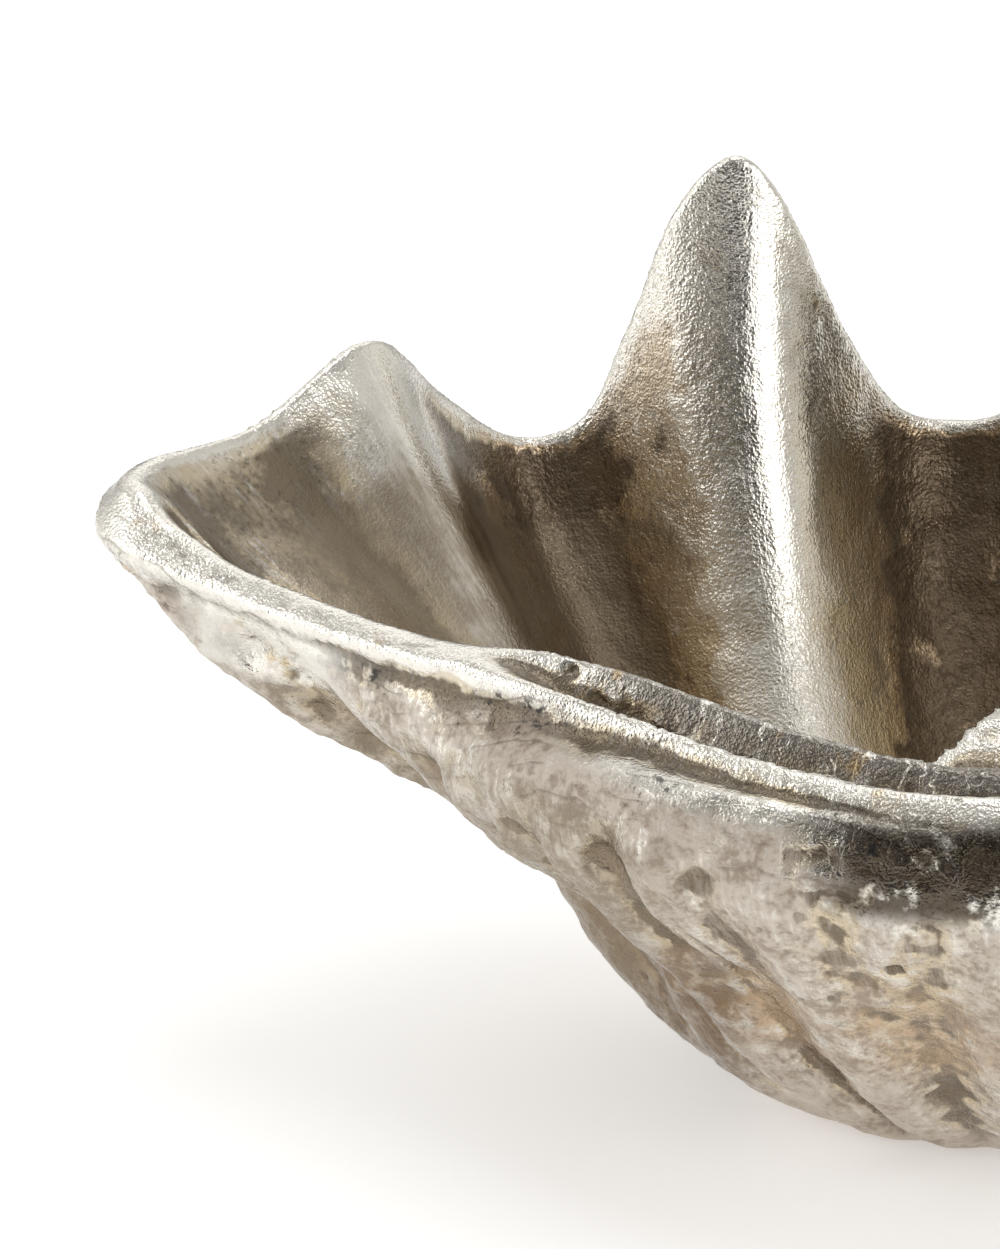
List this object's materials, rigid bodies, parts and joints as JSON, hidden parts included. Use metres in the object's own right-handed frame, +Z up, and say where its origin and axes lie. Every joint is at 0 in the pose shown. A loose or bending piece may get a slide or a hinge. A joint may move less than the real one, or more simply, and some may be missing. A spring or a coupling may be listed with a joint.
{
  "type": "clam shell bowl",
  "caption": "Open giant clam shell bowl with deep scalloped folds, a thick ridged hinge lip and pointed wings, resting on bumper pads.",
  "frame": {"origin": "middle of the footprint's bounding box, on the surface that the pads stand on", "axes": "+X along the shell from the left wing to the right wing, +Y from the hinge to the scalloped margin, +Z up out of the bowl"},
  "size_m": [0.5501, 0.3612, 0.261],
  "materials": {
    "silver_leaf": "silver leaf laid by hand over cast resin, toned brown in the hollows",
    "pad_rubber": "matt"
  },
  "bodies": {
    "root": {"shell_casting": "silver_leaf", "bumper_pad_1": "pad_rubber", "bumper_pad_2": "pad_rubber", "bumper_pad_3": "pad_rubber", "bumper_pad_4": "pad_rubber"}
  },
  "joints": []
}
